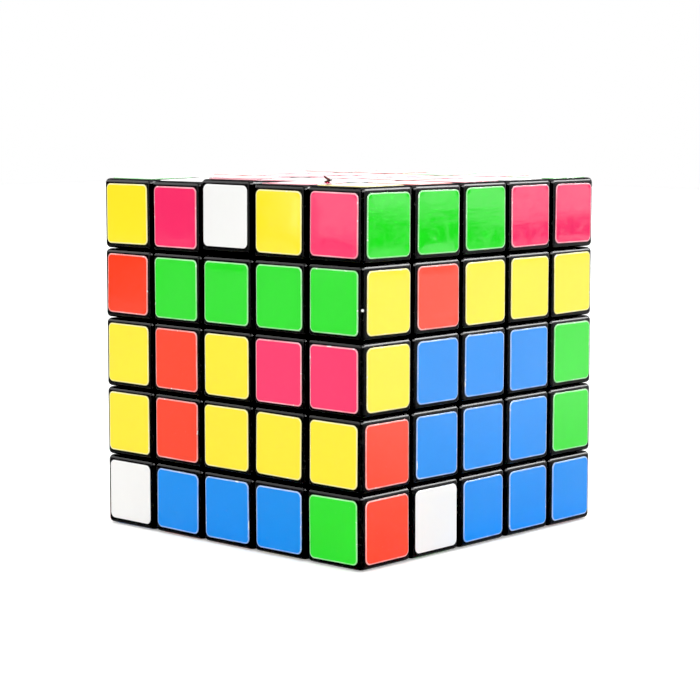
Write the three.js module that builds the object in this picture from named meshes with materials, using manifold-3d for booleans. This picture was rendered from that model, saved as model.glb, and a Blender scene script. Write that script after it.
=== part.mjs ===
// Twisty puzzle cube with five layers a side.
//
// Frame: millimetres, origin at the centre of the cube, +Z up, -Y front, +X right.
//
// Every layer is bounded by surfaces of revolution about its own turning axis, so a layer turns
// freely inside its neighbours. The boundary is a flat plane near the outside of the cube and
// steps inward inside a round track. The part of a piece inside the track is its foot: it hooks
// under the outer walls of its neighbours and so holds the cube together. Six screws, each with
// a spring under its head, hold the middle of each face to the core spider.
import * as THREE from 'three';
import { mergeVertices } from 'three/addons/utils/BufferGeometryUtils.js';
import Module from 'manifold-3d';

const wasm = await Module();
wasm.setup();

// ---- driving dimensions ----
const EDGE = 63.0;                  // outside edge of the cube
const HALF = EDGE / 2;
const LAYERS = 5;
const PITCH = EDGE / LAYERS;        // one cubie with its share of the gap
const GAP = 0.15;                   // given up by each side of a cut
const FAR = 60;                     // larger than anything in the cube

// A boundary between layers: the flat cut outside the round track, and the floor inside it.
const OUTER_TRACK = { cut: 1.5 * PITCH, radius: 29.0, floor: 12.0 };  // outer layer to the next
const INNER_TRACK = { cut: 0.5 * PITCH, radius: 26.0, floor: 4.5 };   // second layer to middle
const TRACK_FACETS = 48;
const CORE_REACH = OUTER_TRACK.floor - GAP;   // half size of the space inside the outer layers

const CHAMFER = 0.45;               // broken edge of each cubie
const GROOVE_W = 0.3;               // groove between cubies that share a rigid body
const GROOVE_D = 1.6;

const CORE_BALL_R = 7.6;
const CORE_BALL_FACETS = { around: 20, upright: 12 };
const CORE_HALF_Z = INNER_TRACK.floor - GAP;
const CORE_ARM_R = 4.1;             // the four level arms
const CORE_POST_R = 3.0;            // the two upright arms, which pass through the slice hubs
const CORE_ARM_FACETS = 16;

const HUB_BORE_R = 3.35;
const HUB_BORE_FACETS = 20;
const HUB_ROUND_R = 15.2;           // rounds off the corners of the square hub
const HUB_ROUND_FACETS = 48;
const HUB_TOOL = [1, 20];           // span of the hub's cutting cylinders, beyond both its faces

const SCREW_HOLE_R = 1.8;
const SCREW_R = 1.5;                // M3 shank
const SCREW_FACETS = 12;            // of the screw and its hole
const SCREW_TIP_AT = 5.4;           // tip of the shank, from the centre
const SCREW_TIP_BEVEL = { width: 0.5, length: 0.6 };
const SCREW_TIP_ROOM = 0.4;         // left free in the core beyond the tip
const HEAD_R = 2.9;
const HEAD_H = 1.7;
const HEAD_AT = 22.6;               // under side of the head, from the centre
const HEAD_TOP = HEAD_AT + HEAD_H;
const HEAD_BEVEL = 0.5;
const SLOT_W = 0.7;
const SLOT_LENGTH = 3.6;
const SLOT_DEPTH = 0.8;

const CUP_R = 3.3;                  // cup in each face centre for the spring and the screw head
const CUP_FROM = 15.0;
const CUP_TO = 28.4;
const CUP_FACETS = 20;
const HOLE_START = OUTER_TRACK.floor - 1;   // below the foot, so that the hole breaks through
const HOLE_OVERLAP = 0.5;           // of the screw hole into the cup

const SPRING_R = 2.4;               // to the middle of the wire
const SPRING_TURNS = 4;
const SPRING_STEPS_PER_TURN = 10;
const WIRE_R = 0.3;
const WIRE_SIDES = 5;
const SPRING_FROM = CUP_FROM + GAP + 2 * WIRE_R;
const SPRING_TO = HEAD_AT - GAP - 2 * WIRE_R;

// ---- materials ----
const blackPlastic = { color: 0x0b0b0d, roughness: 0.28, metalness: 0.0 };
const corePlastic = { color: 0x1a1b1f, roughness: 0.55, metalness: 0.0 };
const steel = { color: 0xb9bcc1, roughness: 0.3, metalness: 1.0 };
const springSteel = { color: 0x8f9399, roughness: 0.35, metalness: 1.0 };

// ---- solids ----
// Welds a closed geometry by position alone, drops collapsed triangles and makes it a manifold.
function solid(geometry) {
  const bare = geometry.clone();
  for (const name of Object.keys(bare.attributes)) {
    if (name !== 'position') bare.deleteAttribute(name);
  }
  const welded = mergeVertices(bare.index ? bare.toNonIndexed() : bare, 1e-4);
  const index = welded.index.array;
  const kept = [];
  for (let i = 0; i < index.length; i += 3) {
    const [first, second, third] = index.slice(i, i + 3);
    if (first !== second && second !== third && third !== first) kept.push(first, second, third);
  }
  return new wasm.Manifold(new wasm.Mesh({
    numProp: 3,
    vertProperties: new Float32Array(welded.attributes.position.array),
    triVerts: new Uint32Array(kept),
  }));
}

function toGeometry(manifold) {
  const mesh = manifold.getMesh();
  const geometry = new THREE.BufferGeometry();
  const positions = new Float32Array(mesh.vertProperties);
  geometry.setAttribute('position', new THREE.BufferAttribute(positions, 3));
  geometry.setIndex(new THREE.BufferAttribute(new Uint32Array(mesh.triVerts), 1));
  return geometry;
}

// Carries a shape made along +Z to another axis.
function aim(geometry, axis) {
  if (axis === 'x') geometry.rotateY(Math.PI / 2);
  if (axis === '-x') geometry.rotateY(-Math.PI / 2);
  if (axis === 'y') geometry.rotateX(-Math.PI / 2);
  if (axis === '-y') geometry.rotateX(Math.PI / 2);
  if (axis === '-z') geometry.rotateX(Math.PI);
  return geometry;
}

// A solid of revolution. The profile is [radius, height] pairs, counterclockwise, from the axis
// back to the axis.
function turned(profile, facets, axis) {
  const points = profile.map(([radius, height]) => new THREE.Vector2(radius, height));
  const geometry = new THREE.LatheGeometry(points, facets, Math.PI / facets);
  geometry.rotateX(Math.PI / 2);
  return solid(aim(geometry, axis));
}

function cylinder(radius, from, to, facets, axis) {
  const geometry = new THREE.CylinderGeometry(
    radius, radius, to - from, facets, 1, false, Math.PI / facets,
  );
  geometry.rotateX(Math.PI / 2);
  geometry.translate(0, 0, (from + to) / 2);
  return solid(aim(geometry, axis));
}

const box = (x, y, z) => solid(new THREE.BoxGeometry(x, y, z));

const joinAll = (list) => list.reduce((all, one) => all.add(one));

// ---- layers ----
// Profile of a track as seen by the layer on its outer side, from the axis outward.
function outsideOf({ cut, radius, floor }) {
  return [
    [0, floor + GAP], [radius - GAP, floor + GAP],
    [radius - GAP, cut + GAP], [FAR, cut + GAP],
  ];
}

// Profile of a track as seen by the layer on its inner side, back to the axis.
function insideOf({ cut, radius, floor }) {
  return [
    [FAR, cut - GAP], [radius + GAP, cut - GAP],
    [radius + GAP, floor - GAP], [0, floor - GAP],
  ];
}

// Profile of a layer lying between a track and its mirror image.
function between(track) {
  const upper = insideOf(track);
  const lower = upper.map(([radius, height]) => [radius, -height]).reverse();
  return [...lower, ...upper];
}

const outerProfile = [...outsideOf(OUTER_TRACK), [FAR, FAR], [0, FAR]];
const middleProfile = between(OUTER_TRACK);     // X and Y have no inner cut through the pieces
const secondProfile = [...outsideOf(INNER_TRACK), ...insideOf(OUTER_TRACK)];
const equatorProfile = between(INNER_TRACK);

const layer = (profile, axis) => turned(profile, TRACK_FACETS, axis);

const threeLayers = (axis) => ({
  '-1': layer(outerProfile, `-${axis}`),
  0: layer(middleProfile, axis),
  1: layer(outerProfile, axis),
});
const layersX = threeLayers('x');
const layersY = threeLayers('y');
const layersZ = {
  '-2': layer(outerProfile, '-z'),
  '-1': layer(secondProfile, '-z'),
  0: layer(equatorProfile, 'z'),
  1: layer(secondProfile, 'z'),
  2: layer(outerProfile, 'z'),
};

// ---- broken edges and grooves on the outside ----
// A long square bar along one axis, standing on its edge, which cuts the chamfers.
function bar(along, position) {
  const side = (CHAMFER + GAP) * Math.SQRT2;
  const size = ['x', 'y', 'z'].map((axis) => (axis === along ? 2 * FAR : side));
  const geometry = new THREE.BoxGeometry(...size);
  if (along === 'x') geometry.rotateX(Math.PI / 4);
  if (along === 'y') geometry.rotateY(Math.PI / 4);
  if (along === 'z') geometry.rotateZ(Math.PI / 4);
  geometry.translate(...position);
  return solid(geometry);
}

// Bars along every cut on all six faces, and along the twelve edges of the cube.
function makeBrokenEdges() {
  const cuts = [-OUTER_TRACK.cut, -INNER_TRACK.cut, INNER_TRACK.cut, OUTER_TRACK.cut];
  const bars = [];
  for (const face of [-HALF, HALF]) {
    for (const line of [-HALF, ...cuts, HALF]) {
      bars.push(bar('y', [line, 0, face]), bar('x', [0, line, face]));
      bars.push(bar('z', [line, face, 0]), bar('z', [face, line, 0]));
      if (Math.abs(line) < HALF) bars.push(bar('x', [0, face, line]), bar('y', [face, 0, line]));
    }
  }
  return joinAll(bars);
}

// Grooves at the inner cuts of X or Y, where three cubies in a row are one rigid piece.
function makeGrooves(axis) {
  const ungrooved = EDGE - 2 * GROOVE_D;
  const inside = box(ungrooved, ungrooved, ungrooved);
  const plates = [-INNER_TRACK.cut, INNER_TRACK.cut].map((at) => {
    const plate = axis === 'x'
      ? new THREE.BoxGeometry(GROOVE_W, 2 * FAR, 2 * FAR).translate(at, 0, 0)
      : new THREE.BoxGeometry(2 * FAR, GROOVE_W, 2 * FAR).translate(0, at, 0);
    return solid(plate).subtract(inside);
  });
  return joinAll(plates);
}

// ---- the cubies ----
// Columns run along X, rows along Y and tiers along Z, each counted from the middle.
const columnNames = { '-1': 'left', 0: '', 1: 'right' };
const rowNames = { '-1': 'front', 0: '', 1: 'rear' };
const tierNames = { '-2': 'bottom', '-1': 'lower', 0: 'middle', 1: 'upper', 2: 'top' };

function cubieName(column, row, tier) {
  const outerTier = Math.abs(tier) === 2;
  let kind = 'centre_block';
  if (column !== 0 && row !== 0) kind = outerTier ? 'corner' : 'edge';
  else if (column !== 0 || row !== 0) kind = outerTier ? 'edge_row' : 'centre_row';
  return [kind, tierNames[tier], rowNames[row], columnNames[column]].filter(Boolean).join('_');
}

// Axis of the screw through a piece at the middle of a face, or null for any other piece.
function screwAxis(column, row, tier) {
  if (column === 0 && row === 0) return tier > 0 ? 'z' : '-z';
  if (tier !== 0) return null;
  if (row === 0) return column > 0 ? 'x' : '-x';
  if (column === 0) return row > 0 ? 'y' : '-y';
  return null;
}

// Hole for the screw, open towards the core, and the cup for its spring and head.
function screwRoom(axis) {
  return cylinder(SCREW_HOLE_R, HOLE_START, CUP_FROM + HOLE_OVERLAP, SCREW_FACETS, axis)
    .add(cylinder(CUP_R, CUP_FROM, CUP_TO, CUP_FACETS, axis));
}

const cube = box(EDGE, EDGE, EDGE);
const brokenEdges = makeBrokenEdges();
const groovesX = makeGrooves('x');
const groovesY = makeGrooves('y');

function makeCubie(column, row, tier) {
  let piece = cube
    .intersect(layersX[column])
    .intersect(layersY[row])
    .intersect(layersZ[tier])
    .subtract(brokenEdges);
  if (column === 0) piece = piece.subtract(groovesX);
  if (row === 0) piece = piece.subtract(groovesY);
  const axis = screwAxis(column, row, tier);
  if (axis) piece = piece.subtract(screwRoom(axis));
  return piece;
}

// ---- the inner slice hubs ----
// A square plate with rounded corners, bored for the upright arm of the core.
function makeHub(axis) {
  const bottom = INNER_TRACK.floor + GAP;
  const height = CORE_REACH - bottom;
  const plate = new THREE.BoxGeometry(2 * CORE_REACH, 2 * CORE_REACH, height);
  plate.translate(0, 0, bottom + height / 2);
  return solid(aim(plate, axis))
    .intersect(cylinder(HUB_ROUND_R, ...HUB_TOOL, HUB_ROUND_FACETS, axis))
    .subtract(cylinder(HUB_BORE_R, ...HUB_TOOL, HUB_BORE_FACETS, axis));
}

// ---- the core spider ----
const faceAxes = { right: 'x', left: '-x', rear: 'y', front: '-y', top: 'z', bottom: '-z' };

// A ball cut flat above and below, with an arm towards each face and a screw hole in each arm.
function makeCore() {
  const { around, upright } = CORE_BALL_FACETS;
  const ball = new THREE.SphereGeometry(CORE_BALL_R, around, upright).rotateX(Math.PI / 2);
  let core = solid(ball).intersect(box(2 * FAR, 2 * FAR, 2 * CORE_HALF_Z));
  const axes = Object.values(faceAxes);
  for (const axis of axes) {
    const radius = axis.endsWith('z') ? CORE_POST_R : CORE_ARM_R;
    core = core.add(cylinder(radius, 0, CORE_REACH, CORE_ARM_FACETS, axis));
  }
  for (const axis of axes) {
    const holeFrom = SCREW_TIP_AT - SCREW_TIP_ROOM;
    core = core.subtract(cylinder(SCREW_HOLE_R, holeFrom, FAR, SCREW_FACETS, axis));
  }
  return core;
}

// ---- screws and springs ----
// A screw with bevelled tip and head, and a cross slot.
function makeScrew(axis) {
  const profile = [
    [0, SCREW_TIP_AT],
    [SCREW_R - SCREW_TIP_BEVEL.width, SCREW_TIP_AT],
    [SCREW_R, SCREW_TIP_AT + SCREW_TIP_BEVEL.length],
    [SCREW_R, HEAD_AT],
    [HEAD_R, HEAD_AT],
    [HEAD_R, HEAD_TOP - HEAD_BEVEL],
    [HEAD_R - HEAD_BEVEL, HEAD_TOP],
    [0, HEAD_TOP],
  ];
  let screw = turned(profile, SCREW_FACETS, axis);
  for (const [x, y] of [[SLOT_LENGTH, SLOT_W], [SLOT_W, SLOT_LENGTH]]) {
    const slot = new THREE.BoxGeometry(x, y, 2 * SLOT_DEPTH);
    slot.translate(0, 0, HEAD_TOP);
    screw = screw.subtract(solid(aim(slot, axis)));
  }
  return screw;
}

// Helix along +Z, followed by the middle of the spring wire.
class Coil extends THREE.Curve {
  getPoint(t, target = new THREE.Vector3()) {
    const angle = 2 * Math.PI * SPRING_TURNS * t;
    return target.set(
      SPRING_R * Math.cos(angle),
      SPRING_R * Math.sin(angle),
      SPRING_FROM + (SPRING_TO - SPRING_FROM) * t,
    );
  }
}

function makeSpring(axis) {
  const section = new THREE.Shape();
  section.moveTo(WIRE_R, 0);
  for (let i = 1; i < WIRE_SIDES; i++) {
    const angle = (2 * Math.PI * i) / WIRE_SIDES;
    section.lineTo(WIRE_R * Math.cos(angle), WIRE_R * Math.sin(angle));
  }
  section.closePath();
  const spring = new THREE.ExtrudeGeometry(section, {
    steps: SPRING_TURNS * SPRING_STEPS_PER_TURN,
    extrudePath: new Coil(),
    bevelEnabled: false,
  });
  return solid(aim(spring, axis));
}

// ---- assembly ----
const group = new THREE.Group();

function place(name, manifold, material) {
  const mesh = new THREE.Mesh(toGeometry(manifold), new THREE.MeshStandardMaterial(material));
  mesh.name = name;
  group.add(mesh);
}

for (const column of [-1, 0, 1]) {
  for (const row of [-1, 0, 1]) {
    for (const tier of [-2, -1, 0, 1, 2]) {
      // The hubs and the core take up the middle of the three inner tiers.
      if (column === 0 && row === 0 && Math.abs(tier) < 2) continue;
      place(cubieName(column, row, tier), makeCubie(column, row, tier), blackPlastic);
    }
  }
}

place('upper_inner_slice_hub', makeHub('z'), corePlastic);
place('lower_inner_slice_hub', makeHub('-z'), corePlastic);
place('core_spider', makeCore(), corePlastic);

for (const [face, axis] of Object.entries(faceAxes)) {
  place(`screw_${face}`, makeScrew(axis), steel);
  place(`spring_${face}`, makeSpring(axis), springSteel);
}

export default group;
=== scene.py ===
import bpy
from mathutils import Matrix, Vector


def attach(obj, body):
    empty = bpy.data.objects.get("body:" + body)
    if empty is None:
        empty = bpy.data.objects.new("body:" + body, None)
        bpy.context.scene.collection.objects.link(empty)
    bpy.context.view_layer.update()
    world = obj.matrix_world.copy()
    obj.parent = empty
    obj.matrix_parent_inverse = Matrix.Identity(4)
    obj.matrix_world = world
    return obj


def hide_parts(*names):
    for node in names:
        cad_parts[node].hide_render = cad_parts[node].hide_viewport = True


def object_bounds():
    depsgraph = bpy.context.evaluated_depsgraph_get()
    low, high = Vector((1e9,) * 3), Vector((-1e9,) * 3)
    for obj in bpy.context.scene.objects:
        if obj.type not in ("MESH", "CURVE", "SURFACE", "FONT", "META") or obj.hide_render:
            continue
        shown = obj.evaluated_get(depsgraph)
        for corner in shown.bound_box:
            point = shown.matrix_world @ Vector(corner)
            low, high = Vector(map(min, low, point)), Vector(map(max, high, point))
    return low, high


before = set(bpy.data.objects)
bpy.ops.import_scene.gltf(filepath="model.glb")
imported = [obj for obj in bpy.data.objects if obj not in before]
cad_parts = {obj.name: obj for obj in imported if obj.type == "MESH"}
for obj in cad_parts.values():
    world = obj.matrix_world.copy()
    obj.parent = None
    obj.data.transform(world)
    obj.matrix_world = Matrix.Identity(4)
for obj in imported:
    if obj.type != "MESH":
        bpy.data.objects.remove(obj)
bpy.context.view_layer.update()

# Looks of a five-layer twisty puzzle cube: 98 glossy black cubies, each its own piece with the foot
# that hooks into its neighbours, 150 vinyl stickers and the sprung core inside.
# The cube is centred on the origin: +X right, +Y rear, +Z top. The camera sees front, right and top.
# A cubie's place is (i, j, k), its layers along x, y and z, each from -2 to 2.
# Lengths are in millimetres until a mesh is scaled by MM; stage and bump lengths are in metres.
import math
import random
from functools import cache

import bpy
import bmesh
from mathutils import Matrix, Vector

MM = 0.001
PITCH = 12.6
HALF = 2.5 * PITCH
OUTER_CUT, INNER_CUT = 1.5 * PITCH, 0.5 * PITCH
GAP = 0.08                   # half of the slit between pieces
TRACK_R, TRACK_FLOOR = 29.0, 12.0
INNER_TRACK_R, INNER_TRACK_FLOOR = 26.0, 4.5
OUTER_TRACK = (TRACK_R, TRACK_FLOOR, OUTER_CUT)
INNER_TRACK = (INNER_TRACK_R, INNER_TRACK_FLOOR, INNER_CUT)
FAR = 60.0                   # beyond every piece
FACETS = 64                  # of the tracks

ROUND = 0.85                 # radius of a cubie's edges
FOOT_TOP = HALF - 2.2        # feet stay below the rounded shell by this much
CENTRE_SHELL_FROM = TRACK_FLOOR + 2   # a centre's shell reaches down to here
SCREW_HOLE_R = 1.8           # in a fixed centre
CUP_R, CUP_FROM, CUP_TO = 3.3, 15.0, 28.4   # room for the spring
CUP_CHAMFER = 0.5
CUP_FACETS = 32

STICKER = 10.74              # side
STICKER_R = 0.98             # corner radius
STICKER_T = 0.13             # thickness
CORNER_LIFT = 0.025          # of the odd sticker corner
CORNERS = ((1, 1), (-1, 1), (-1, -1), (1, -1))

LETTERS = {"Y": "yellow", "P": "crimson", "W": "white",
           "O": "orange_red", "G": "green", "B": "blue"}
# Rows from top to bottom, left to right as seen from outside;
# the top is seen from the front, rear row first.
FACES = {
    "top": "OOGPG PPPPW OPPOP WPWWO GWPPY",
    "front": "YPWYP OGGGG YOYPP YOYYY WBBBG",
    "right": "GGGPP YOYYY YBBBG OBBBG OWBBB",
    "rear": "WBGYW BGOPY WWWGB YBGBW YBOBY",
    "left": "BGWGO OYGWW POGPO OGBWP BBYPP",
    "bottom": "BOOYW GOYOG BYOWW PYWWW OOGWP",
}
NORMALS = {"top": (0, 0, 1), "bottom": (0, 0, -1), "front": (0, -1, 0),
           "rear": (0, 1, 0), "right": (1, 0, 0), "left": (-1, 0, 0)}

# How the cubies sit within their play
TWIST = {2: 0.05, 1: 0.09, 0: 0.0, -1: -0.15, -2: -0.22}   # degrees each layer k is off square
PLAY_SHIFT = 0.03            # mm either way
PLAY_TILT = 0.15             # degrees either way
TILT_CENTRE = 0.94           # share of the way out to a cubie's middle that it tilts about
# Cubies tipped out of line: y shift, then how far the front edge rises
TIPPED = {(0, -2, 2): (-0.12, 0.52), (-1, -2, 2): (0.0, -0.10)}

CAMERA_AZIMUTH = math.radians(42.4)    # from the front towards the right
CAMERA_ELEVATION = math.radians(6.7)
CAMERA_DISTANCE = 385 * MM


# ---------------------------------------------------------------- mesh helpers
def mesh_from(verts, faces):
    mesh = bpy.data.meshes.new("m")
    mesh.from_pydata([tuple(v) for v in verts], [], faces)
    mesh.validate()
    mesh.update()
    return mesh


def mesh_from_bmesh(bm, name):
    mesh = bpy.data.meshes.new(name)
    bm.to_mesh(mesh)
    bm.free()
    return mesh


def quad(ring, next_ring, n):
    """Face n of the band between two rings of vertex numbers."""
    m = (n + 1) % len(ring)
    return ring[n], ring[m], next_ring[m], next_ring[n]


def fix_normals(mesh):
    bm = bmesh.new()
    bm.from_mesh(mesh)
    bmesh.ops.recalc_face_normals(bm, faces=bm.faces)
    if bm.calc_volume(signed=True) < 0:
        bmesh.ops.reverse_faces(bm, faces=bm.faces)
    bm.to_mesh(mesh)
    bm.free()
    return mesh


def boolean(mesh, other, operation):
    target = bpy.data.objects.new("tmp_a", mesh)
    cutter = bpy.data.objects.new("tmp_b", other)
    for ob in (target, cutter):
        bpy.context.scene.collection.objects.link(ob)
    mod = target.modifiers.new("b", "BOOLEAN")
    mod.operation, mod.object, mod.solver = operation, cutter, "EXACT"
    depsgraph = bpy.context.evaluated_depsgraph_get()
    depsgraph.update()
    result = bpy.data.meshes.new_from_object(target.evaluated_get(depsgraph), depsgraph=depsgraph)
    bpy.data.objects.remove(target)
    bpy.data.objects.remove(cutter)
    return result


AXIS_TURN = {"z": Matrix.Identity(3), "x": Matrix.Rotation(math.pi / 2, 3, "Y"),
             "y": Matrix.Rotation(-math.pi / 2, 3, "X")}


def lathe(profile, axis, facets=FACETS):
    """Solid of revolution from (radius, height) pairs that start and end on the axis."""
    verts, faces, rings = [], [], []
    for radius, z in profile:
        start = len(verts)
        if radius < 1e-9:
            verts.append(Vector((0, 0, z)))
        else:
            for n in range(facets):
                angle = 2 * math.pi * (n + 0.5) / facets
                verts.append(Vector((radius * math.cos(angle), radius * math.sin(angle), z)))
        rings.append(range(start, len(verts)))
    for ring, next_ring in zip(rings, rings[1:]):
        for n in range(facets):
            m = (n + 1) % facets
            if len(ring) == 1:
                faces.append((ring[0], next_ring[m], next_ring[n]))
            elif len(next_ring) == 1:
                faces.append((ring[n], ring[m], next_ring[0]))
            else:
                faces.append(quad(ring, next_ring, n))
    return fix_normals(mesh_from([AXIS_TURN[axis] @ v for v in verts], faces))


def block(low, high, bevel=0.0):
    bm = bmesh.new()
    bmesh.ops.create_cube(bm, size=1.0)
    for v in bm.verts:
        v.co = Vector([low[n] if v.co[n] < 0 else high[n] for n in range(3)])
    if bevel:
        bmesh.ops.bevel(bm, geom=list(bm.edges), offset=bevel, offset_type="OFFSET", segments=5,
                        profile=0.5, affect="EDGES", clamp_overlap=True)
    bmesh.ops.recalc_face_normals(bm, faces=bm.faces)
    return mesh_from_bmesh(bm, "block")


def mesh_object(name, mesh, materials, smooth_angle=30.0):
    mesh.name = name
    slots = [p.material_index for p in mesh.polygons]   # clearing the materials resets these
    mesh.materials.clear()
    for material in materials:
        mesh.materials.append(material)
    for polygon, slot in zip(mesh.polygons, slots):
        polygon.material_index = slot
        polygon.use_smooth = True
    mesh.set_sharp_from_angle(angle=math.radians(smooth_angle))
    ob = bpy.data.objects.new(name, mesh)
    bpy.context.scene.collection.objects.link(ob)
    mod = ob.modifiers.new("face_weighted_normals", "WEIGHTED_NORMAL")
    mod.mode, mod.weight, mod.keep_sharp = "FACE_AREA", 50, True
    return ob


# ---------------------------------------------------------------- layer shapes
# Profiles are (radius, height) pairs; a track is (radius, floor, cut).
def above_track(radius, floor, cut):
    """Underside of the layer outside a track, from the axis outwards."""
    return [(0, floor + GAP), (radius - GAP, floor + GAP), (radius - GAP, cut + GAP),
            (FAR, cut + GAP)]


def below_track(radius, floor, cut):
    """Top of the layer inside a track, inwards to the axis."""
    return [(FAR, cut - GAP), (radius + GAP, cut - GAP), (radius + GAP, floor - GAP),
            (0, floor - GAP)]


def between_tracks(track):
    """A layer across the middle, the same on both sides."""
    top = below_track(*track)
    return [(radius, -z) for radius, z in reversed(top)] + top


OUTER_PROFILE = above_track(*OUTER_TRACK) + [(FAR, FAR), (0, FAR)]
MIDDLE_PROFILE = between_tracks(OUTER_TRACK)    # the three layers between the outer two
SECOND_PROFILE = above_track(*INNER_TRACK) + below_track(*OUTER_TRACK)
EQUATOR_PROFILE = between_tracks(INNER_TRACK)
LAYERS = {
    "x": {0: lathe(MIDDLE_PROFILE, "x"), 2: lathe(OUTER_PROFILE, "x")},
    "y": {0: lathe(MIDDLE_PROFILE, "y"), 2: lathe(OUTER_PROFILE, "y")},
    "z": {0: lathe(EQUATOR_PROFILE, "z"), 1: lathe(SECOND_PROFILE, "z"),
          2: lathe(OUTER_PROFILE, "z")},
}


@cache
def layer_shape(x_layer, y_layer, z_layer):
    """Where three layers meet."""
    both = boolean(LAYERS["x"][x_layer], LAYERS["y"][y_layer], "INTERSECT")
    return boolean(both, LAYERS["z"][z_layer], "INTERSECT")


def cell(layer):
    """Span of a layer along its axis, with its half of the gap taken off."""
    if layer == 0:
        return -INNER_CUT + GAP, INNER_CUT - GAP
    if layer == 1:
        return INNER_CUT + GAP, OUTER_CUT - GAP
    return OUTER_CUT + GAP, HALF


# ---------------------------------------------------------------- cubie meshes
def spring_room(axis):
    """Screw hole and the cup for the spring, inside a fixed centre."""
    bottom = TRACK_FLOOR - 1
    return lathe([(0, bottom), (SCREW_HOLE_R, bottom), (SCREW_HOLE_R, CUP_FROM), (CUP_R, CUP_FROM),
                  (CUP_R, CUP_TO - CUP_CHAMFER), (CUP_R - CUP_CHAMFER, CUP_TO), (0, CUP_TO)],
                 axis, CUP_FACETS)


def clean(mesh):
    """Merge doubles and drop what the booleans left loose."""
    bm = bmesh.new()
    bm.from_mesh(mesh)
    bmesh.ops.remove_doubles(bm, verts=bm.verts, dist=1e-4)
    bmesh.ops.dissolve_degenerate(bm, edges=bm.edges, dist=1e-4)
    bmesh.ops.delete(bm, geom=[e for e in bm.edges if not e.link_faces], context="EDGES")
    bmesh.ops.delete(bm, geom=[v for v in bm.verts if not v.link_faces], context="VERTS")
    bm.to_mesh(mesh)
    bm.free()


@cache
def octant_cubie(i, j, k):
    """Cubie of the right, rear, top eighth: rounded shell at the outside, foot inside."""
    layers = (i, j, k)
    low, high = zip(*(cell(n) for n in layers))
    shell_low = list(low)
    if layers.count(2) == 1:   # a centre's shell goes well below the rounded part
        shell_low[layers.index(2)] = CENTRE_SHELL_FROM
    shell = block(shell_low, high, bevel=ROUND)
    foot_low = [0.0 if n == 2 or (axis == 2 and n == 1) else low[axis]
                for axis, n in enumerate(layers)]
    foot_high = [FOOT_TOP if n == 2 else high[axis] for axis, n in enumerate(layers)]
    both = boolean(shell, block(foot_low, foot_high), "UNION")
    shape = layer_shape(2 if i == 2 else 0, 2 if j == 2 else 0, k)
    piece = boolean(both, shape, "INTERSECT")
    if sorted(layers) == [0, 0, 2]:
        piece = boolean(piece, spring_room("xyz"[layers.index(2)]), "DIFFERENCE")
    clean(piece)
    return piece


def sign(n):
    return -1 if n < 0 else 1


def cubie_mesh(i, j, k):
    """The cubie of the same kind from the right, rear, top eighth, mirrored into place."""
    mesh = octant_cubie(abs(i), abs(j), abs(k)).copy()
    signs = (sign(i), sign(j), sign(k))
    mesh.transform(Matrix.Diagonal((*signs, 1)))
    if math.prod(signs) < 0:
        mesh.flip_normals()
    return mesh


# ---------------------------------------------------------------- shader helpers
def put(socket, value):
    """Set a socket to a number or tuple, or link an output to it; None leaves it alone."""
    if value is None:
        return
    if isinstance(value, (int, float)):
        socket.default_value = value
    elif isinstance(value, tuple):   # a colour socket takes an alpha of 1 as well
        socket.default_value = (*value, 1)[:len(socket.default_value)]
    else:
        socket.id_data.links.new(value, socket)


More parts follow.
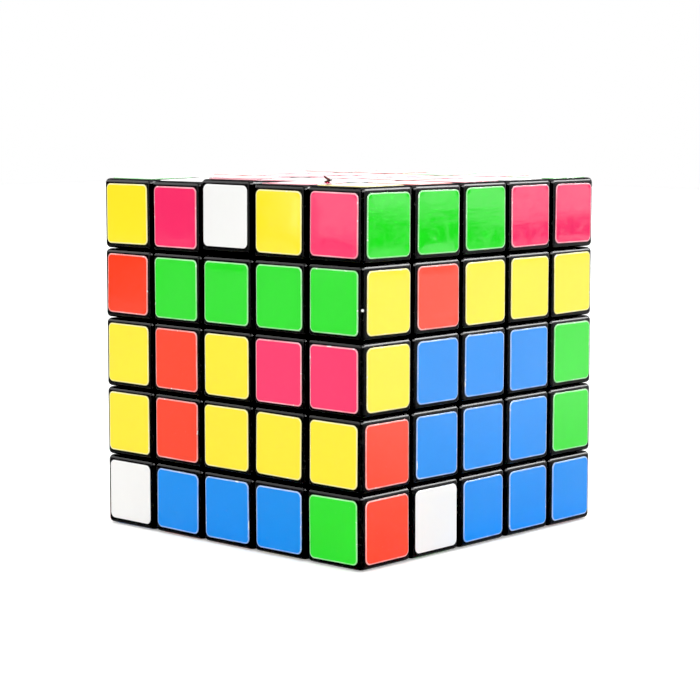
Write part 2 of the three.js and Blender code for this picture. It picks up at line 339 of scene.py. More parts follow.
class Nodes:
    """Short ways to add nodes to a tree. Each returns an output socket, except add."""

    def __init__(self, tree):
        self.tree = tree
        self.normal = None

    def add(self, kind, inputs=None, **settings):
        node = self.tree.nodes.new(kind)
        for name, value in settings.items():
            setattr(node, name, value)
        for key, value in (inputs or {}).items():
            put(node.inputs[key], value)
        return node

    def surface(self, inputs):
        for name, value in inputs.items():
            put(self.tree.nodes["Principled BSDF"].inputs[name], value)

    def coords(self, kind="Object"):
        return self.add("ShaderNodeTexCoord").outputs[kind]

    def noise(self, vector, scale, detail=2.0, rough=0.5, distortion=0.0):
        return self.add("ShaderNodeTexNoise", {
            "Scale": scale, "Detail": detail, "Roughness": rough, "Distortion": distortion,
            "Vector": vector}).outputs["Fac"]

    def ramp(self, value, start, end):
        """Black up to start, white from end."""
        node = self.add("ShaderNodeValToRGB", {"Fac": value})
        for element, position, grey in zip(node.color_ramp.elements, (start, end), (0.0, 1.0)):
            element.position = position
            element.color = (grey, grey, grey, 1)
        return node.outputs["Color"]

    def math(self, operation, a, b=None, clamp=False):
        node = self.add("ShaderNodeMath", {0: a, 1: b}, operation=operation, use_clamp=clamp)
        return node.outputs[0]

    def times(self, a, b):
        return self.math("MULTIPLY", a, b)

    def scaled(self, value, gain, base):
        return self.math("ADD", self.times(value, gain), base)

    def vector_math(self, operation, a, b=None, output="Vector"):
        return self.add("ShaderNodeVectorMath", {0: a, 1: b}, operation=operation).outputs[output]

    def mix(self, factor, a, b):
        """Mix of two colours; 0, 6 and 7 are the factor and colour sockets."""
        return self.add("ShaderNodeMix", {0: factor, 6: a, 7: b}, data_type="RGBA").outputs[2]

    def map_range(self, value, start, end, to_start=0.0, to_end=1.0, interpolation="LINEAR"):
        return self.add("ShaderNodeMapRange", {
            "From Min": start, "From Max": end, "To Min": to_start, "To Max": to_end,
            "Value": value}, interpolation_type=interpolation).outputs[0]

    def separate(self, vector):
        return self.add("ShaderNodeSeparateXYZ", {0: vector}).outputs

    def camera_axes(self, vector):
        """Parts of a vector: side, + right; depth, + away from the camera; height, + up."""
        spin = self.add("ShaderNodeVectorRotate", {"Angle": -CAMERA_AZIMUTH, "Vector": vector},
                        rotation_type="Z_AXIS")
        return self.separate(spin.outputs[0])

    def bump(self, height, distance, strength=1.0):
        """Lay a bump, its distance in metres, over those made before it."""
        node = self.add("ShaderNodeBump", {
            "Strength": strength, "Distance": distance, "Height": height, "Normal": self.normal})
        self.normal = node.outputs["Normal"]
        self.surface({"Normal": self.normal})

    def rounded(self, normal, start, end):
        """1 where the normal leans away from all three axes, so on rounded edges; 0 on flats."""
        parts = [self.math("ABSOLUTE", part) for part in self.separate(normal)]
        largest = self.math("MAXIMUM", self.math("MAXIMUM", parts[0], parts[1]), parts[2])
        return self.map_range(largest, start, end, to_start=1.0, to_end=0.0)


def new_material(name):
    material = bpy.data.materials.new(name)
    material.use_nodes = True
    return material, Nodes(material.node_tree)


def toned(colour, gain, lift=0.0, limit=math.inf):
    return tuple(min(limit, part * gain + lift) for part in colour)


# ---------------------------------------------------------------- materials
PAINT_FLECK_AT = (31.26 * MM, -31.22 * MM, 11.6 * MM)   # on the front right edge
PAINT_FLECK_R = 0.24 * MM


def black_plastic():
    """Gloss with scuffed edges and dust, duller where it faces up."""
    material, nodes = new_material("black_gloss_plastic")
    coords = nodes.add("ShaderNodeTexCoord").outputs
    place, normal = coords["Object"], coords["Normal"]
    edge = nodes.rounded(normal, start=0.90, end=0.995)
    blotch = nodes.noise(place, scale=260.0, detail=3.0, rough=0.55)
    fine = nodes.noise(place, scale=2600.0, rough=0.6)
    grain = nodes.noise(place, scale=9000.0, detail=1.0)
    patches = nodes.noise(place, scale=1500.0, detail=4.0, rough=0.65, distortion=0.6)
    wear = nodes.times(edge, nodes.ramp(patches, start=0.55, end=0.68))
    dust = nodes.ramp(nodes.noise(place, scale=5200.0, detail=1.0, rough=0.4),
                      start=0.735, end=0.775)
    fleck_distance = nodes.vector_math("DISTANCE", place, PAINT_FLECK_AT, output="Value")
    fleck = nodes.math("LESS_THAN", fleck_distance, PAINT_FLECK_R)

    colour = nodes.mix(blotch, a=(0.0040, 0.0040, 0.0044), b=(0.0085, 0.0084, 0.0086))
    colour = nodes.mix(nodes.times(wear, 0.40), colour, b=(0.034, 0.033, 0.032))
    colour = nodes.mix(nodes.times(dust, 0.14), colour, b=(0.20, 0.19, 0.175))
    colour = nodes.mix(fleck, colour, b=(0.85, 0.85, 0.84))

    rough = nodes.math("ADD", nodes.times(blotch, 0.10), nodes.times(wear, 0.12))
    facing_up = nodes.ramp(nodes.separate(normal)[2], start=0.80, end=0.97)
    rough = nodes.math("ADD", rough, nodes.times(facing_up, 0.30))
    nodes.surface({"Base Color": colour, "Roughness": nodes.math("ADD", rough, 0.13, clamp=True),
                   "IOR": 1.5, "Specular IOR Level": 0.12})
    nodes.bump(blotch, distance=1.2e-5)
    nodes.bump(fine, distance=8e-7)
    nodes.bump(grain, distance=1.2e-7)
    return material


def glue_and_shade_backing():
    """The underside of lifted vinyl, brown old glue with grime in it; put on the whole curl, its
    darkness is also painted shade of the lifted strip.
    """
    material, nodes = new_material("old_glue_and_shade")
    place = nodes.coords()
    tone = nodes.noise(place, scale=1800.0, detail=3.0, rough=0.6)
    nodes.surface({
        # dark browns: glue colour, partly painted shade of the curl
        "Base Color": nodes.mix(nodes.ramp(tone, start=0.35, end=0.65),
                                a=(0.016, 0.008, 0.005), b=(0.060, 0.032, 0.020)),
        "Roughness": nodes.scaled(tone, gain=0.20, base=0.50),
        "Specular IOR Level": 0.2})
    nodes.bump(nodes.noise(place, scale=3500.0), distance=6e-6)
    return material


def inner_plastic():
    material, nodes = new_material("inner_matte_plastic")
    place = nodes.coords()
    blotch = nodes.noise(place, scale=400.0, detail=3.0, rough=0.55)
    grain = nodes.noise(place, scale=6000.0, rough=0.6)
    streak = nodes.ramp(nodes.noise(place, scale=900.0, rough=0.4, distortion=3.0),
                        start=0.45, end=0.6)
    nodes.surface({
        "Base Color": nodes.mix(blotch, a=(0.016, 0.017, 0.020), b=(0.030, 0.031, 0.036)),
        "Roughness": nodes.scaled(streak, gain=0.12, base=0.42)})
    nodes.bump(blotch, strength=0.3, distance=6e-5)
    nodes.bump(grain, strength=0.25, distance=2e-5)
    return material


def metal(name, colour, rough):
    material, nodes = new_material(name)
    place = nodes.coords()
    blotch = nodes.noise(place, scale=700.0, detail=3.0, rough=0.6)
    fine = nodes.noise(place, scale=7000.0, rough=0.6)
    nodes.surface({"Base Color": nodes.mix(blotch, toned(colour, 0.82), colour),
                   "Roughness": nodes.scaled(fine, gain=0.14, base=rough),
                   "Metallic": 1.0})
    nodes.bump(fine, strength=0.2, distance=1e-5)
    return material


VINYL = {
    "yellow": (1.0, 0.832, 0.037), "crimson": (0.96, 0.040, 0.152), "white": (0.925, 0.925, 0.91),
    "orange_red": (0.97, 0.057, 0.020), "green": (0.022, 0.75, 0.022), "blue": (0.0, 0.275, 0.88),
}
CHIP_AND_HIGHLIGHT_WHITE = (0.93, 0.93, 0.92)
# Small white marks along the sticker edges, partly chip damage where the print has come off and
# partly painted highlight lines on the sticker lips, in mm:
# x, y, z of the middle, then half width, half depth, half height.
CHIPS_AND_HIGHLIGHTS = {
    "orange_red": [(-19.95, -31.6, 11.7, 0.15, 0.5, 0.20), (-13.9, -31.6, -5.28, 0.20, 0.5, 0.14),
                   (-7.35, -31.6, -12.3, 0.14, 0.5, 0.20), (31.6, -20.2, -20.0, 0.5, 0.42, 0.16)],
    "crimson": [(19.92, -31.6, 3.1, 0.13, 0.5, 0.28), (24.2, -31.6, 5.27, 0.6, 0.5, 0.09)],
    "blue": [(2.5, -31.6, -19.93, 0.48, 0.5, 0.13), (5.27, -31.6, -27.2, 0.10, 0.5, 0.75),
             (31.6, -17.88, -15.4, 0.5, 0.10, 0.8), (31.6, -5.3, -3.0, 0.5, 0.09, 0.45)],
    "green": [(30.47, -31.6, 11.5, 0.14, 0.5, 0.17)],
}


def chipped_and_highlit(nodes, place, kind, base):
    """The base colour with the white marks of a vinyl over it, chip damage and painted highlights,
    their borders ragged.
    """
    if kind not in CHIPS_AND_HIGHLIGHTS:
        return base
    edge_noise = nodes.noise(place, scale=4200.0, rough=0.6)
    ragged = nodes.times(nodes.math("SUBTRACT", edge_noise, 0.5), 1.6)
    white_marks = None
    for x, y, z, *half_sizes in CHIPS_AND_HIGHLIGHTS[kind]:
        offset = nodes.vector_math("SUBTRACT", place, (x * MM, y * MM, z * MM))
        offset = nodes.vector_math("DIVIDE", offset, tuple(half * MM for half in half_sizes))
        length = nodes.vector_math("LENGTH", offset, output="Value")
        inside = nodes.math("LESS_THAN", nodes.math("ADD", length, ragged), 1.0)
        white_marks = inside if white_marks is None else nodes.math("MAXIMUM", white_marks, inside)
    # mixes in the white of chip damage and of painted highlight lines
    return nodes.mix(white_marks, base, CHIP_AND_HIGHLIGHT_WHITE)


def vinyl(kind):
    """Glossy printed vinyl: slow waves from the glue below, faint orange peel, smears."""
    material, nodes = new_material("vinyl_" + kind)
    place = nodes.coords()
    colour = VINYL[kind]
    tone = nodes.noise(place, scale=60.0, detail=1.0)
    cloud = nodes.noise(place, scale=420.0, detail=4.0, rough=0.6, distortion=0.4)
    speck = nodes.ramp(nodes.noise(place, scale=3600.0, detail=1.0, rough=0.4),
                       start=0.77, end=0.81)
    base = nodes.mix(tone, toned(colour, 0.95), colour)
    base = nodes.mix(nodes.times(cloud, 0.12), base, toned(colour, 0.80))
    base = nodes.mix(nodes.times(speck, 0.08), base, b=(0.5, 0.48, 0.45))
    base = chipped_and_highlit(nodes, place, kind, base)

    # the glue was rolled on sideways, so its waves are stretched along x and y
    stretched = nodes.add("ShaderNodeMapping", {
        "Vector": place, "Scale": (0.26, 0.26, 1.5)}).outputs[0]
    wave = nodes.noise(stretched, scale=190.0, detail=1.5)
    peel = nodes.noise(stretched, scale=620.0, rough=0.55)
    grain = nodes.noise(place, scale=5200.0, detail=1.0)
    smear = nodes.ramp(nodes.noise(place, scale=330.0, detail=3.0, rough=0.6, distortion=1.2),
                       start=0.40, end=0.66)
    nodes.surface({"Base Color": base, "IOR": 1.5,
                   "Roughness": nodes.scaled(smear, gain=0.07, base=0.045)})
    nodes.bump(wave, distance=8e-6)
    nodes.bump(peel, distance=3.3e-6)
    nodes.bump(grain, distance=1.5e-7)
    return material


def vinyl_edge(kind):
    """The cut edge and lip of a sticker in a paler tint of the vinyl, nearly white in places: partly
    the paler body of the vinyl showing, partly a painted highlight along the bevel.
    """
    material, nodes = new_material("vinyl_edge_" + kind)
    place = nodes.coords()
    middling = toned(VINYL[kind], gain=0.72, lift=0.22, limit=0.93)
    # pale tint: partly the vinyl's own paler edge, partly a painted highlight on the bevel
    pale = toned(VINYL[kind], gain=0.52, lift=0.42, limit=0.93)
    tone = nodes.noise(place, scale=260.0)
    base = nodes.mix(nodes.ramp(tone, start=0.35, end=0.65), middling, pale)
    fleck = nodes.ramp(nodes.noise(place, scale=1100.0), start=0.66, end=0.70)
    base = nodes.mix(nodes.times(fleck, 0.75), base, b=(0.93, 0.93, 0.91))
    nodes.surface({"Base Color": chipped_and_highlit(nodes, place, kind, base),
                   "Roughness": nodes.scaled(tone, gain=0.15, base=0.22)})
    nodes.bump(nodes.noise(place, scale=3000.0), distance=4e-6)
    return material


MAT_BLACK = black_plastic()
MAT_GLUE_AND_SHADE = glue_and_shade_backing()
MAT_INNER = inner_plastic()
MAT_SCREW = metal("screw_metal", colour=(0.62, 0.62, 0.63), rough=0.24)
MAT_SPRING = metal("spring_metal", colour=(0.50, 0.51, 0.53), rough=0.28)
MAT_VINYL = {kind: vinyl(kind) for kind in VINYL}
MAT_EDGE = {kind: vinyl_edge(kind) for kind in VINYL}


# ---------------------------------------------------------------- names and places of cubies
def join(*words):
    return "_".join(word for word in words if word)


def place_words(i, j, k):
    return join({2: "top", 1: "upper", 0: "", -1: "lower", -2: "bottom"}[k],
                {-2: "front", -1: "inner_front", 0: "", 1: "inner_rear", 2: "rear"}[j],
                {-2: "left", -1: "inner_left", 0: "", 1: "inner_right", 2: "right"}[i])


def cad_body(i, j, k):
    """The CAD body, and node of the same name, that a cubie belongs to."""
    tier = {2: "top", 1: "upper", 0: "middle", -1: "lower", -2: "bottom"}[k]
    side = {-2: "front", 2: "rear"}.get(j, "")
    column = {-2: "left", 2: "right"}.get(i, "")
    if side and column:
        return join("corner" if abs(k) == 2 else "edge", tier, side, column)
    if side or column:
        return join("edge_row" if abs(k) == 2 else "centre_row", tier, side, column)
    return join("centre_block", tier)


def kind_of(i, j, k):
    layers = sorted(map(abs, (i, j, k)))
    if layers.count(2) == 3:
        return "corner_cubie"
    if layers.count(2) == 2:
        return "middle_edge_cubie" if 0 in layers else "wing_cubie"
    return "fixed_centre_cubie" if layers == [0, 0, 2] else "centre_cubie"


def cubie_matrix(i, j, k):
    """Twist of the layer, and the play of one cubie in its track, seeded by its place."""
    rand = random.Random(1000 + 100 * (i + 2) + 10 * (j + 2) + (k + 2))
    shift = Vector([rand.uniform(-PLAY_SHIFT, PLAY_SHIFT) for _ in range(3)])
    tilt = [math.radians(rand.uniform(-PLAY_TILT, PLAY_TILT)) for _ in range(3)]
    turn = (Matrix.Rotation(tilt[0], 4, "X") @ Matrix.Rotation(tilt[1], 4, "Y")
            @ Matrix.Rotation(tilt[2], 4, "Z"))
    centre = Vector([n * PITCH * TILT_CENTRE for n in (i, j, k)])
    return (Matrix.Rotation(math.radians(TWIST[k]), 4, "Z") @ Matrix.Translation(centre + shift)
            @ turn @ Matrix.Translation(-centre))


def tip(i, j, k, v):
    """A tipped cubie pivots about its rear edge, so its top slopes along y."""
    shift, rise = TIPPED.get((i, j, k), (0.0, 0.0))
    forward = min(1.0, max(0.0, (-OUTER_CUT - v.y) / PITCH))
    return Vector((v.x, v.y + shift, v.z + rise * forward))


def sticker_colour(face, i, j, k):
    column, row = {"front": (i, 2 - k), "right": (j, 2 - k), "rear": (-i, 2 - k),
                   "left": (-j, 2 - k), "top": (i, 2 - j), "bottom": (i, j + 2)}[face]
    return LETTERS[FACES[face].split()[row][column + 2]]


# ---------------------------------------------------------------- cubies and stickers
# Rings of a sticker from its underside to the middle of its face: inset, height
STICKER_RINGS = [
    (0.03, -0.02), (0.0, 0.035), (0.035, STICKER_T - 0.035), (0.12, STICKER_T - 0.008),
    (0.23, STICKER_T), (0.32, STICKER_T - 0.006), (1.0, STICKER_T + 0.004),
    (2.6, STICKER_T + 0.012),
]
STICKER_EDGE_BANDS = 4       # bands between rings that take the pale edge material: the cut edge and lip, partly painted highlight


def rounded_square(half, radius, corner_steps=7):
    points = []
    for corner, (side_x, side_y) in enumerate(CORNERS):
        for n in range(corner_steps + 1):
            angle = math.radians(90 * corner + 90 * n / corner_steps)
            points.append(((half - radius) * side_x + radius * math.cos(angle),
                           (half - radius) * side_y + radius * math.sin(angle)))
    return points


def sticker_mesh(seed):
    """A rounded square plate in XY: cut edge, turned-down lip, and a very slightly domed face.

    It stands on z = 0. Material 0 is the face and 1 the cut edge and underside.
    """
    rand = random.Random(seed)
    half = STICKER / 2 * rand.uniform(0.990, 1.004)
    radius = STICKER_R * rand.uniform(0.88, 1.12)
    lifts = [rand.choice((0.0, 0.0, 0.0, CORNER_LIFT)) for _ in CORNERS]
    verts, faces, slots, rings = [], [], [], []
    for inset, z in STICKER_RINGS:
        start = len(verts)
        for x, y in rounded_square(half - inset, max(0.25, radius - inset * 0.9)):
            # a corner lifts from 0.62 of the way out along its diagonal
            up = sum(lift * max(0.0, (x * side_x + y * side_y) / (2 * half) - 0.62) / 0.3
                     for lift, (side_x, side_y) in zip(lifts, CORNERS))
            verts.append((x, y, z + (up if z > 0.02 else 0.0)))
        rings.append(range(start, len(verts)))
    for level, (ring, next_ring) in enumerate(zip(rings, rings[1:])):
        for n in range(len(ring)):
            faces.append(quad(ring, next_ring, n))
            slots.append(1 if level < STICKER_EDGE_BANDS else 0)
    faces += [tuple(rings[-1]), tuple(reversed(rings[0]))]
    slots += [0, 1]
    mesh = mesh_from(verts, faces)
    for polygon, slot in zip(mesh.polygons, slots):
        polygon.material_index = slot
    return mesh


def build_sticker(face, i, j, k):
    normal = Vector(NORMALS[face])
    colour = sticker_colour(face, i, j, k)
    letters = kind_of(i, j, k) + "_" + place_words(i, j, k) + face
    seed = sum(ord(letter) for letter in letters) * 7 + 31 * i + 17 * j + 5 * k
    rand = random.Random(seed)
    mesh = sticker_mesh(seed)
    across = Vector((0, 1, 0)) if face in ("right", "left") else Vector((1, 0, 0))
    basis = Matrix((across, normal.cross(across), normal)).transposed().to_4x4()
    middle = Vector()            # of the flat part of this face
    for axis, n in enumerate((i, j, k)):
        middle[axis] = normal[axis] * HALF if normal[axis] else sum(cell(abs(n))) / 2 * sign(n)
    spin = Matrix.Rotation(math.radians(rand.uniform(-0.55, 0.55)), 4, "Z")
    slide = Matrix.Translation((rand.uniform(-0.06, 0.06), rand.uniform(-0.06, 0.06), 0))
    mesh.transform(Matrix.Translation(middle) @ basis @ slide @ spin)
    for v in mesh.vertices:
        v.co = tip(i, j, k, v.co)
    mesh.transform(Matrix.Scale(MM, 4) @ cubie_matrix(i, j, k))
    ob = mesh_object("sticker_" + face + "." + place_words(i, j, k), mesh,
                     [MAT_VINYL[colour], MAT_EDGE[colour]], smooth_angle=50)
    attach(ob, cad_body(i, j, k))


def build_cubie(i, j, k):
    mesh = cubie_mesh(i, j, k)
    if (i, j, k) in TIPPED:      # the shell moves, the foot stays in its track
        for v in mesh.vertices:
            if v.co.z > OUTER_CUT + 0.01 and v.co.y < -OUTER_CUT - 0.01:
                v.co = tip(i, j, k, v.co)
    mesh.transform(Matrix.Scale(MM, 4) @ cubie_matrix(i, j, k))
    ob = mesh_object(kind_of(i, j, k) + "_" + place_words(i, j, k), mesh, [MAT_BLACK])
    body = cad_body(i, j, k)
    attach(ob, body)
    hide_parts(body)
    for face, (x, y, z) in NORMALS.items():
        if i * x + j * y + k * z == 2:
            build_sticker(face, i, j, k)


# ---------------------------------------------------------------- curled bit of sticker
# A torn bit of the sticker on top of the inner right front cubie, curled up and split in two.
CURL_CUBIE = (1, -2, 2)
CURL_AT = (13.87, -21.0, HALF + STICKER_T - 0.02)
CURL_SIDE = Vector((0.738, 0.675, 0.0))   # the curl's profile lies along this and up
CURL_THICK, CURL_WIDE = 0.16, 0.80
CURL_LEAN = 0.42             # raises the front right side of the strips
# Stations of each strip: along the side, up, share of the width
CURL_PATHS = (
    ((0.90, 0.46, 0.25), (0.74, 0.36, 0.45), (0.52, 0.34, 0.8), (0.34, 0.40, 1.0),
     (0.14, 0.52, 1.0), (-0.08, 0.67, 1.0), (-0.28, 0.83, 0.9), (-0.44, 0.97, 0.6),
     (-0.56, 1.06, 0.3)),
    ((0.44, 0.40, 0.7), (0.34, 0.25, 1.0), (0.16, 0.12, 1.15), (-0.08, 0.04, 1.2),
     (-0.30, 0.0, 1.0), (-0.44, 0.02, 0.6)),
)


def ribbon(path, across):
    """A thin closed strip that follows a path, as wide as the vector across."""
    line = [CURL_SIDE * side + Vector((0, 0, z)) for side, z, _ in path]
    verts, faces = [], []
    for n, (here, (_, _, share)) in enumerate(zip(line, path)):
        along = (line[min(n + 1, len(line) - 1)] - line[max(n - 1, 0)]).normalized()
        out = along.cross(across).normalized() * CURL_THICK / 2 * (0.55 + 0.45 * share)
        half = across * share / 2
        verts += [here + out + half, here - out + half, here - out - half, here + out - half]
    last = 4 * (len(line) - 1)
    for start in range(0, last, 4):
        ring, next_ring = range(start, start + 4), range(start + 4, start + 8)
        faces += [quad(ring, next_ring, edge) for edge in range(4)]
    faces += [(3, 2, 1, 0), (last, last + 1, last + 2, last + 3)]
    return verts, faces


def build_curl():
    lean = Vector((0, 0, CURL_LEAN))
    across = (CURL_SIDE.cross(Vector((0, 0, 1))) + lean).normalized() * CURL_WIDE
    bm = bmesh.new()
    for path in CURL_PATHS:
        verts, faces = ribbon(path, across)
        made = [bm.verts.new(v + Vector(CURL_AT)) for v in verts]
        for face in faces:
            bm.faces.new([made[n] for n in face])
    bmesh.ops.recalc_face_normals(bm, faces=bm.faces)
    mesh = mesh_from_bmesh(bm, "curl")
    mesh.transform(Matrix.Scale(MM, 4) @ cubie_matrix(*CURL_CUBIE))
    # the whole curl takes the dark glue colour, partly painted shade
    ob = mesh_object("sticker_curl.top_front_inner_right", mesh, [MAT_GLUE_AND_SHADE], smooth_angle=45)
    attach(ob, cad_body(*CURL_CUBIE))


# ---------------------------------------------------------------- core screws
# Heights are mm from the middle of the cube.
SCREW_TIP, THREAD_TO, HEAD_AT, SCREW_TOP = 5.4, 17.0, 22.6, 24.3
CONE_LENGTH = 0.7
THREAD_R, SHANK_R, HEAD_R = 1.48, 1.36, 2.88
THREAD_PITCH, THREAD_DEPTH, THREAD_STEPS = 1.0, 0.26, 6
HEAD_WALL = 0.75             # height of the head's straight side
DOME_HEIGHT, DOME_INSET = 0.93, 1.3
RECESS_LONG, RECESS_NARROW, RECESS_DEPTH = 1.7, 0.36, 1.25   # first two are half sizes
SCREW_FACETS = 24
SCREW_AIMS = {
    "top": Matrix.Identity(4), "bottom": Matrix.Rotation(math.pi, 4, "X"),
    "right": Matrix.Rotation(math.pi / 2, 4, "Y"), "left": Matrix.Rotation(-math.pi / 2, 4, "Y"),
    "rear": Matrix.Rotation(-math.pi / 2, 4, "X"), "front": Matrix.Rotation(math.pi / 2, 4, "X"),
}


def screw_levels():
    """(height, radius) of each ring of a screw; the radius is None along the thread."""
    cone = [(SCREW_TIP + rise, 0.25 + rise * 1.3) for rise in (0.02, 0.35)]
    count = int((THREAD_TO - SCREW_TIP - CONE_LENGTH) / THREAD_PITCH * THREAD_STEPS)
    thread = [(SCREW_TIP + CONE_LENGTH + n * THREAD_PITCH / THREAD_STEPS, None)
              for n in range(count)]
    shank = [(THREAD_TO + 0.3, SHANK_R), (HEAD_AT - 0.15, SHANK_R), (HEAD_AT, SHANK_R + 0.10)]
    head = [(HEAD_AT + 0.01, HEAD_R - 0.12), (HEAD_AT + 0.12, HEAD_R),
            (HEAD_AT + HEAD_WALL, HEAD_R)]
    dome = [(HEAD_AT + HEAD_WALL + DOME_HEIGHT * math.sin(angle),
             HEAD_R - DOME_INSET * (1 - math.cos(angle)))
            for angle in (0.25, 0.5, 0.75, 1.0, 1.25, 1.5)]
    return cone + thread + shank + head + dome


def thread_radius(z, turn):
    phase = ((z - SCREW_TIP) / THREAD_PITCH - turn) % 1.0
    return THREAD_R - THREAD_DEPTH * min(1.0, 2.6 * min(phase, 1.0 - phase))


def screw_mesh():
    """A pan-head screw along +Z: cone tip, thread, plain shank, rounded head with a cross."""
    verts, faces, rings = [Vector((0, 0, SCREW_TIP))], [], []
    for z, level_radius in screw_levels():
        start = len(verts)
        for n in range(SCREW_FACETS):
            angle = 2 * math.pi * n / SCREW_FACETS
            radius = thread_radius(z, n / SCREW_FACETS) if level_radius is None else level_radius
            verts.append(Vector((radius * math.cos(angle), radius * math.sin(angle), z)))
        rings.append(range(start, len(verts)))
    for n in range(SCREW_FACETS):
        faces.append((0, rings[0][(n + 1) % SCREW_FACETS], rings[0][n]))
        faces += [quad(ring, next_ring, n) for ring, next_ring in zip(rings, rings[1:])]
    faces.append(tuple(rings[-1]))
    mesh = fix_normals(mesh_from(verts, faces))
    for x, y in ((RECESS_LONG, RECESS_NARROW), (RECESS_NARROW, RECESS_LONG)):
        slot = block((-x, -y, SCREW_TOP - RECESS_DEPTH), (x, y, SCREW_TOP + 1.0))
        mesh = boolean(mesh, slot, "DIFFERENCE")
    return mesh


def build_screws():
    """All six screws as one object."""
    screw = screw_mesh()
    bm = bmesh.new()
    for face, aim in SCREW_AIMS.items():
        turned = screw.copy()
        spin = Matrix.Rotation(0.4 + 1.3 * len(face), 4, "Z")   # each head stands at its own angle
        turned.transform(Matrix.Scale(MM, 4) @ aim @ spin)
        bm.from_mesh(turned)
    ob = mesh_object("core_screws", mesh_from_bmesh(bm, "core_screws"), [MAT_SCREW])
    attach(ob, "core")
    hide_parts(*("screw_" + face for face in SCREW_AIMS))


def dress_cad_nodes():
    """Materials of the CAD nodes that stay: springs, spider and hubs."""
    for node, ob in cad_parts.items():
        if node.startswith("spring_"):
            material = MAT_SPRING
        elif node == "core_spider" or node.endswith("_hub"):
            material = MAT_INNER
        else:
            continue
        for slot in ob.material_slots:
            slot.material = material


# ---------------------------------------------------------------- floor
# Metres; the near edges of the sheet are mirrored in the top row.
FLOOR_LEFT, FLOOR_RIGHT, FLOOR_FRONT, FLOOR_REAR = -1.3, 0.500, -0.545, 1.3
FLOOR_DROP = 0.00002         # below the cube
FLOOR_WHITE = (0.93, 0.93, 0.93)
FLOOR_MIRRORED = (0.58, 0.58, 0.58)
FLOOR_SHADE = (0.12, 0.12, 0.12)


def floor_material():
    """Matte white sheet. What the cube mirrors of it is a little brighter on the right."""
    material, nodes = new_material("floor_white")
    nodes.surface({"Base Color": FLOOR_WHITE, "Roughness": 0.8, "Specular IOR Level": 0.1,
                   "Emission Color": (1, 1, 1)})
    position = nodes.add("ShaderNodeNewGeometry").outputs["Position"]
    side, depth, _ = nodes.camera_axes(position)
    rays = nodes.add("ShaderNodeLightPath").outputs
    mirrored = rays["Is Glossy Ray"]
    # far out on the left the sheet is in shade, which only the leftmost stickers mirror
    far_left = nodes.map_range(side, start=-0.47, end=-0.51)
    beyond = nodes.map_range(depth, start=-0.014, end=-0.004)
    shade = nodes.times(nodes.times(far_left, beyond), mirrored)
    tone = nodes.mix(mirrored, FLOOR_WHITE, FLOOR_MIRRORED)
    glow = nodes.map_range(side, start=0.03, end=0.20, to_end=0.82)
    seen = nodes.times(rays["Is Camera Ray"], 0.30)
    nodes.surface({"Base Color": nodes.mix(shade, tone, FLOOR_SHADE),
                   "Emission Strength": nodes.math("ADD", nodes.times(glow, mirrored), seen)})
    return material


def build_floor():
    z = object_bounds()[0][2] - FLOOR_DROP
    mesh = mesh_from([(FLOOR_LEFT, FLOOR_FRONT, z), (FLOOR_RIGHT, FLOOR_FRONT, z),
                      (FLOOR_RIGHT, FLOOR_REAR, z), (FLOOR_LEFT, FLOOR_REAR, z)], [(0, 1, 2, 3)])
    mesh.materials.append(floor_material())
    ob = bpy.data.objects.new("floor", mesh)
    bpy.context.scene.collection.objects.link(ob)


# ---------------------------------------------------------------- light
def soft_tent(nodes, side, height):
    """What lights the cube: a white tent, a little stronger overhead and on the right."""
    rise = nodes.map_range(height, start=0.0, end=1.0, interpolation="SMOOTHSTEP")
    soft = nodes.scaled(rise, gain=0.30, base=0.98)
    return nodes.math("ADD", soft, nodes.times(nodes.math("MAXIMUM", side, 0.0), 0.01))


def mirrored_room(nodes, side, depth, height):
    """What the cube mirrors: a dim room with bright panels, bounded by parts of the direction."""
    times = nodes.times

    def above(value, start, end):
        """0 below start, 1 above end, smooth between."""
        return nodes.map_range(value, start, end, interpolation="SMOOTHSTEP")

    def below(value, start, end):
        return nodes.math("SUBTRACT", 1.0, above(value, start, end))

    def band(value, low, high, soft):
        """1 between low and high, with borders that fade over soft to each side."""
        return times(above(value, low - soft, low + soft), below(value, high - soft, high + soft))

    def front_panel(low, high):
        """A panel in front of the cube that spans low to high sideways."""
        return times(band(side, low, high, soft=0.03),
                     times(below(depth, -0.30, -0.20), band(height, -0.20, 0.5, soft=0.08)))

    right = times(above(side, 0.60, 0.75), band(height, -0.0535, 0.45, soft=0.0045))
    back = times(above(depth, 0.35, 0.75), band(height, -0.03, 0.24, soft=0.04))
    behind_camera = times(below(depth, -0.80, -0.55), band(height, 0.14, 0.65, soft=0.06))
    overhead = above(height, 0.76, 0.86)
    right_high = times(times(above(side, 0.48, 0.60), below(depth, 0.42, 0.54)),
                       band(height, 0.46, 0.74, soft=0.03))
    key_light = times(times(band(side, -0.15, 0.60, soft=0.05), below(depth, -0.62, -0.50)),
                      band(height, 0.35, 0.75, soft=0.04))
    left = times(below(side, -0.70, -0.45), band(height, 0.30, 0.70, soft=0.05))
    left_front = front_panel(-0.95, -0.55)
    right_front = front_panel(0.55, 0.93)
    near_left = times(band(depth, -0.34, -0.062, soft=0.012),
                      times(below(side, -0.90, -0.80), band(height, -0.066, 0.25, soft=0.003)))

    room = nodes.scaled(right, gain=2.0, base=0.10)
    for panel, power in ((back, 1.55), (behind_camera, 0.9), (overhead, 3.0), (right_high, 30.0),
                         (key_light, 26.0), (left, 5.0), (left_front, 2.6), (right_front, 1.6),
                         (near_left, 1.9)):
        room = nodes.math("ADD", room, times(panel, power))
    return room


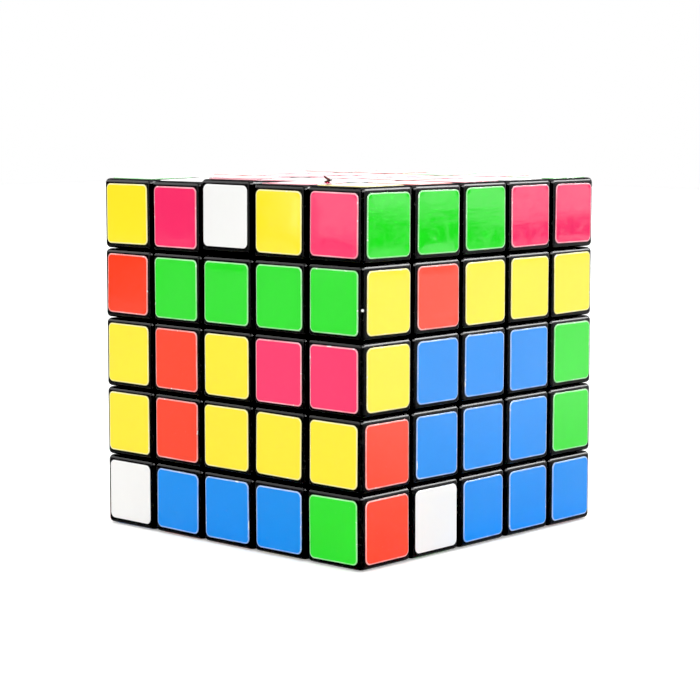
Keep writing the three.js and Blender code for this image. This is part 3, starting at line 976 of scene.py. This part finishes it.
def build_world():
    """The mirrored room for glossy rays, white for the camera, the soft tent for the rest."""
    world = bpy.data.worlds.new("studio")
    bpy.context.scene.world = world
    world.use_nodes = True
    world.cycles.sampling_method = "NONE"
    nodes = Nodes(world.node_tree)
    side, depth, height = nodes.camera_axes(nodes.coords("Generated"))
    rays = nodes.add("ShaderNodeLightPath").outputs
    glossy, camera_ray = rays["Is Glossy Ray"], rays["Is Camera Ray"]
    soft = soft_tent(nodes, side, height)
    mirror = mirrored_room(nodes, side, depth, height)
    light = nodes.math("ADD", nodes.times(mirror, glossy),
                       nodes.times(soft, nodes.math("SUBTRACT", 1.0, glossy)))
    unseen = nodes.times(light, nodes.math("SUBTRACT", 1.0, camera_ray))
    background = world.node_tree.nodes["Background"]
    put(background.inputs["Strength"], nodes.math("ADD", unseen, camera_ray))
    put(background.inputs["Color"], (1, 1, 1))


# ---------------------------------------------------------------- camera
def build_camera():
    data = bpy.data.cameras.new("camera")
    camera = bpy.data.objects.new("camera", data)
    bpy.context.scene.collection.objects.link(camera)
    back = Vector((math.sin(CAMERA_AZIMUTH) * math.cos(CAMERA_ELEVATION),
                   -math.cos(CAMERA_AZIMUTH) * math.cos(CAMERA_ELEVATION),
                   math.sin(CAMERA_ELEVATION)))
    camera.location = back * CAMERA_DISTANCE
    camera.rotation_mode = "QUATERNION"
    camera.rotation_quaternion = (-back).to_track_quat("-Z", "Y")
    data.sensor_width = 36
    data.lens = 108
    data.clip_start, data.clip_end = 0.01, 20
    bpy.context.scene.camera = camera


def set_view():
    view = bpy.context.scene.view_settings
    view.view_transform = "Standard"
    view.use_curve_mapping = True
    view.curve_mapping.black_level = (0.015, 0.015, 0.015)   # deepens the blacks
    view.curve_mapping.update()


# ---------------------------------------------------------------- build
for i in range(-2, 3):
    for j in range(-2, 3):
        for k in range(-2, 3):
            if max(abs(i), abs(j), abs(k)) == 2:
                build_cubie(i, j, k)
build_curl()
build_screws()
dress_cad_nodes()
build_floor()
build_world()
build_camera()
set_view()
